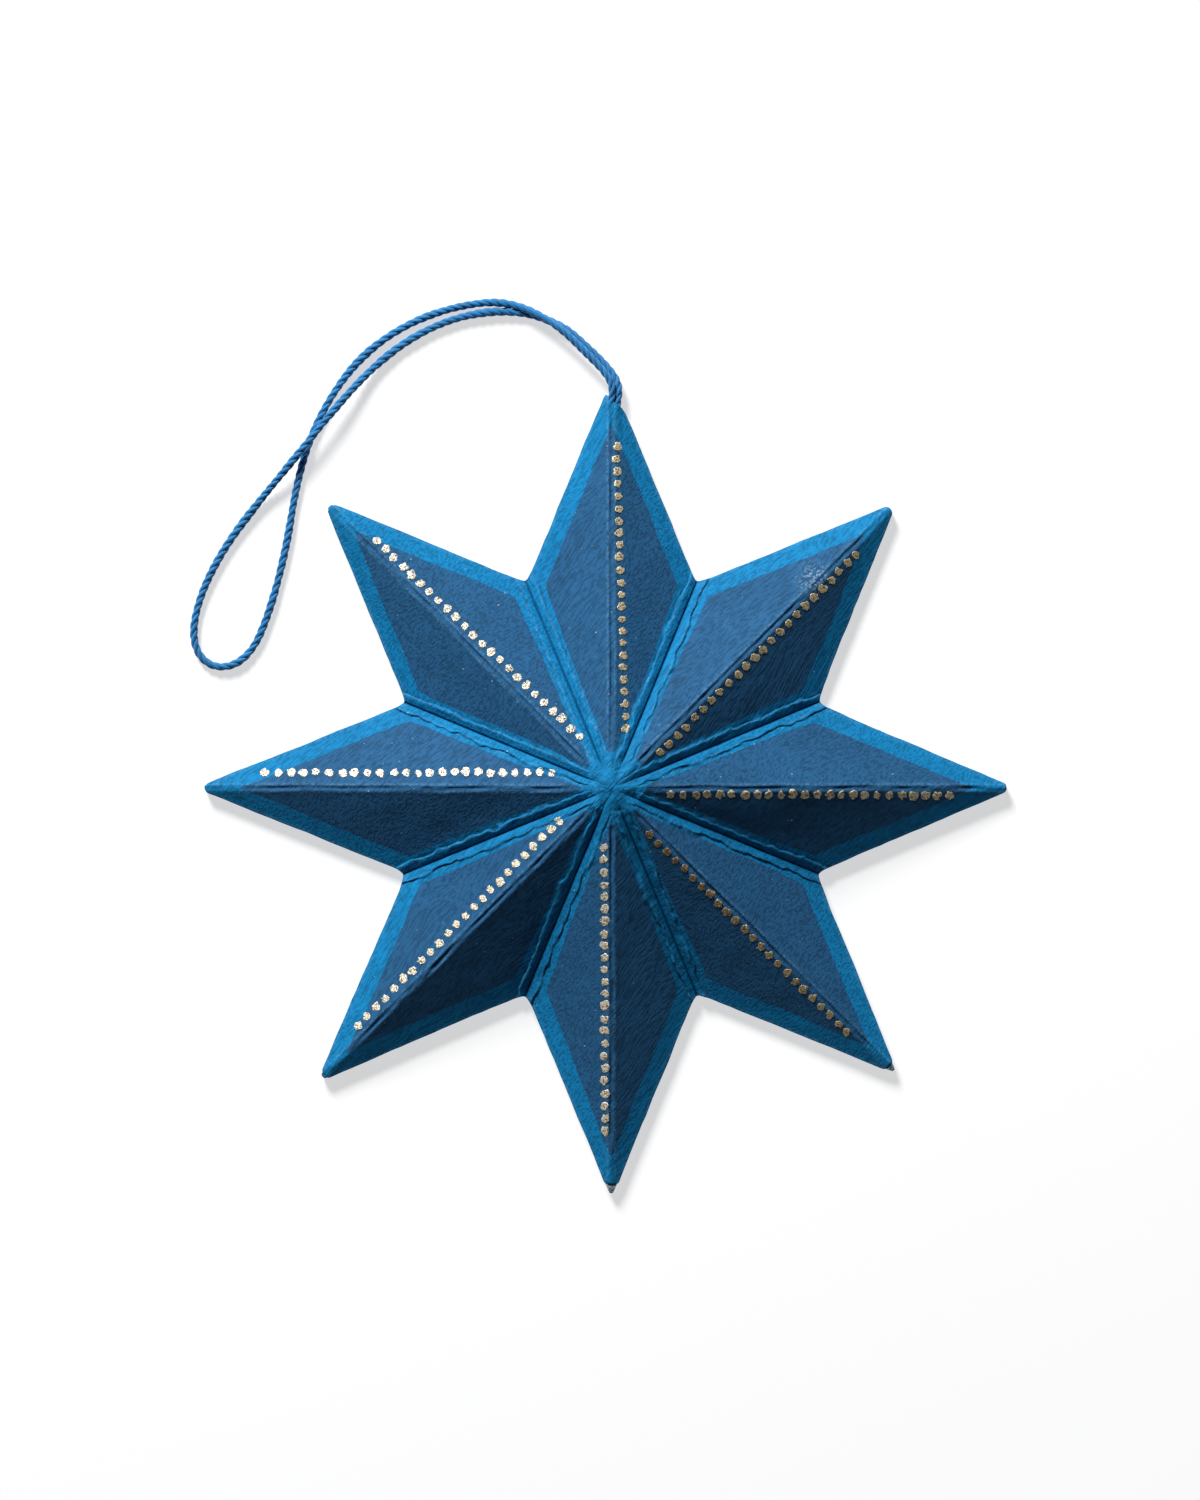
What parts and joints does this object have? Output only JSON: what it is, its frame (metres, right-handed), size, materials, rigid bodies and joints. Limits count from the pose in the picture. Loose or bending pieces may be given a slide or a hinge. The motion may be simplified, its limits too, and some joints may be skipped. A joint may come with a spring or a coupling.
{
  "type": "paper snowflake star",
  "caption": "Hanging star of folded card points under one printed paper cover, with raised paint dots along each ridge and a twisted cord loop.",
  "frame": {"origin": "middle of the star on the surface that its flat back lies on", "axes": "+Z out of the front, through the raised middle; +Y towards the point that hangs from the cord; +X to the right as seen from the front"},
  "size_m": [0.1338, 0.1449, 0.0158],
  "materials": {
    "printed_paper": "matte handmade paper, printed with dark blue kites",
    "dyed_board": "matte dyed board, paler where its tips are worn",
    "lining_paper": "matte handmade paper",
    "folding_card": "matte undyed card",
    "metallic_paint": "crinkled pale gold paint with a metallic sheen",
    "twisted_cord": "twisted cotton cord"
  },
  "bodies": {
    "root": {"front_cover": "printed_paper", "back_board": "dyed_board", "back_lining": "lining_paper", "point_card_1": "folding_card", "point_card_2": "folding_card", "point_card_3": "folding_card", "point_card_4": "folding_card", "point_card_5": "folding_card", "point_card_6": "folding_card", "point_card_7": "folding_card", "point_card_8": "folding_card", "dot_row_1": "metallic_paint", "dot_row_2": "metallic_paint", "dot_row_3": "metallic_paint", "dot_row_4": "metallic_paint", "dot_row_5": "metallic_paint", "dot_row_6": "metallic_paint", "dot_row_7": "metallic_paint", "dot_row_8": "metallic_paint", "cord_knot": "twisted_cord", "hanging_cord": "twisted_cord"}
  },
  "joints": []
}
